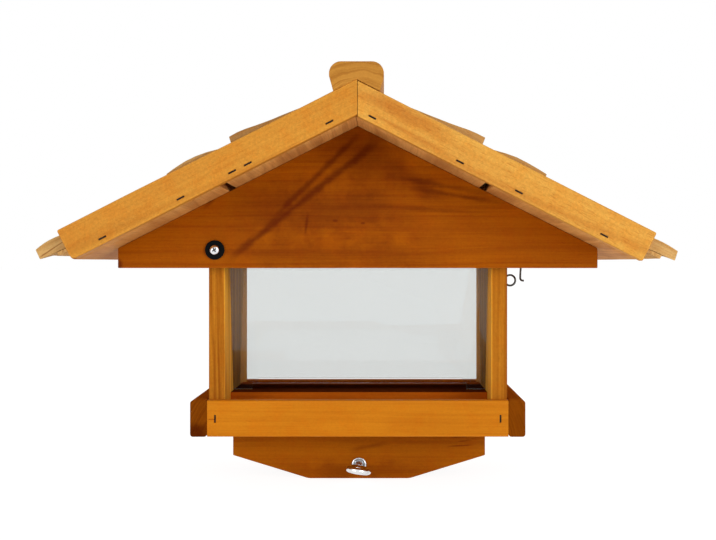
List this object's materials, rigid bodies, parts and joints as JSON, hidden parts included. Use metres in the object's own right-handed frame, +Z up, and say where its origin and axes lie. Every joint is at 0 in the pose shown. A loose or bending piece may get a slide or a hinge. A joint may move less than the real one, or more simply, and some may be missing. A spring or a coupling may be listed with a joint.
{
  "type": "hopper bird feeder house",
  "caption": "Roofed wooden bird feeder: a seed hopper with sloping clear panes over a shallow tray, under a shingle roof that hinges open, with a post socket below.",
  "frame": {"origin": "on the ground under the middle of the tray, where the keels stand", "axes": "+X to the right seen from the front, towards the latch; +Y from front to back; +Z up"},
  "size_m": [0.483, 0.396, 0.331],
  "materials": {
    "rail_wood": "oiled softwood, bright orange, flat grain",
    "side_rail_wood": "oiled softwood with dark end grain",
    "keel_wood": "oiled softwood, deep orange brown",
    "wall_wood": "oiled softwood with upright grain",
    "gable_wood": "oiled pine with level grain, red streaks and small knots",
    "sheathing_wood": "oiled softwood, grain from front to back",
    "rake_wood": "oiled softwood, light honey",
    "shingle_wood": "bare split softwood, pale tan",
    "cap_wood": "oiled softwood, light brown end grain",
    "pane": "clear acrylic sheet with sawn edges",
    "washer_rubber": "black, satin",
    "dark_wire": "burnished dark steel wire",
    "chrome": "bright plated steel",
    "screw_steel": "bright zinc plated steel"
  },
  "bodies": {
    "house": {"tray_floor": "keel_wood", "front_rail": "rail_wood", "rear_rail": "rail_wood", "left_rail": "side_rail_wood", "right_rail": "side_rail_wood", "hopper_base": "keel_wood", "front_keel": "keel_wood", "rear_keel": "keel_wood", "socket_block": "keel_wood", "clamp_sleeve": "chrome", "floor_screws": "screw_steel", "underside_screws": "screw_steel", "rail_staples": "dark_wire", "left_wall": "wall_wood", "right_wall": "wall_wood", "front_pane": "pane", "rear_pane": "pane", "front_pivot_screw": "screw_steel", "rear_pivot_screw": "screw_steel", "front_pivot_washer": "washer_rubber", "rear_pivot_washer": "washer_rubber", "wall_eye": "dark_wire"},
    "roof": {"front_gable": "gable_wood", "rear_gable": "gable_wood", "left_upper_sheathing": "sheathing_wood", "left_lower_sheathing": "sheathing_wood", "right_upper_sheathing": "sheathing_wood", "right_lower_sheathing": "sheathing_wood", "front_left_rake": "rake_wood", "front_right_rake": "rake_wood", "rear_left_rake": "rake_wood", "rear_right_rake": "rake_wood", "left_starter": "shingle_wood", "right_starter": "shingle_wood", "left_course_1": "shingle_wood", "left_course_2": "shingle_wood", "left_course_3": "shingle_wood", "left_course_4": "shingle_wood", "right_course_1": "shingle_wood", "right_course_2": "shingle_wood", "right_course_3": "shingle_wood", "right_course_4": "shingle_wood", "ridge_cap": "cap_wood", "rake_staples": "dark_wire", "sheathing_nails": "screw_steel", "roof_eye": "dark_wire"},
    "latch_hook": {"latch_hook": "dark_wire"},
    "clamp_bolt": {"clamp_bolt": "chrome"}
  },
  "joints": [
    {"name": "roof_hinge", "type": "hinge", "parent": "house", "child": "roof", "pos_m": [-0.11425, 0, 0.19161], "axis": [0, -1, 0], "range_deg": [0, 75]},
    {"name": "hook_swing", "type": "hinge", "parent": "roof", "child": "latch_hook", "pos_m": [0.14125, 0.004, 0.20395], "axis": [0, -1, 0], "range_deg": [-20, 50]},
    {"name": "clamp_turn", "type": "hinge", "parent": "house", "child": "clamp_bolt", "pos_m": [0, -0.05, 0.0115], "axis": [0, -1, 0], "continuous": true}
  ]
}
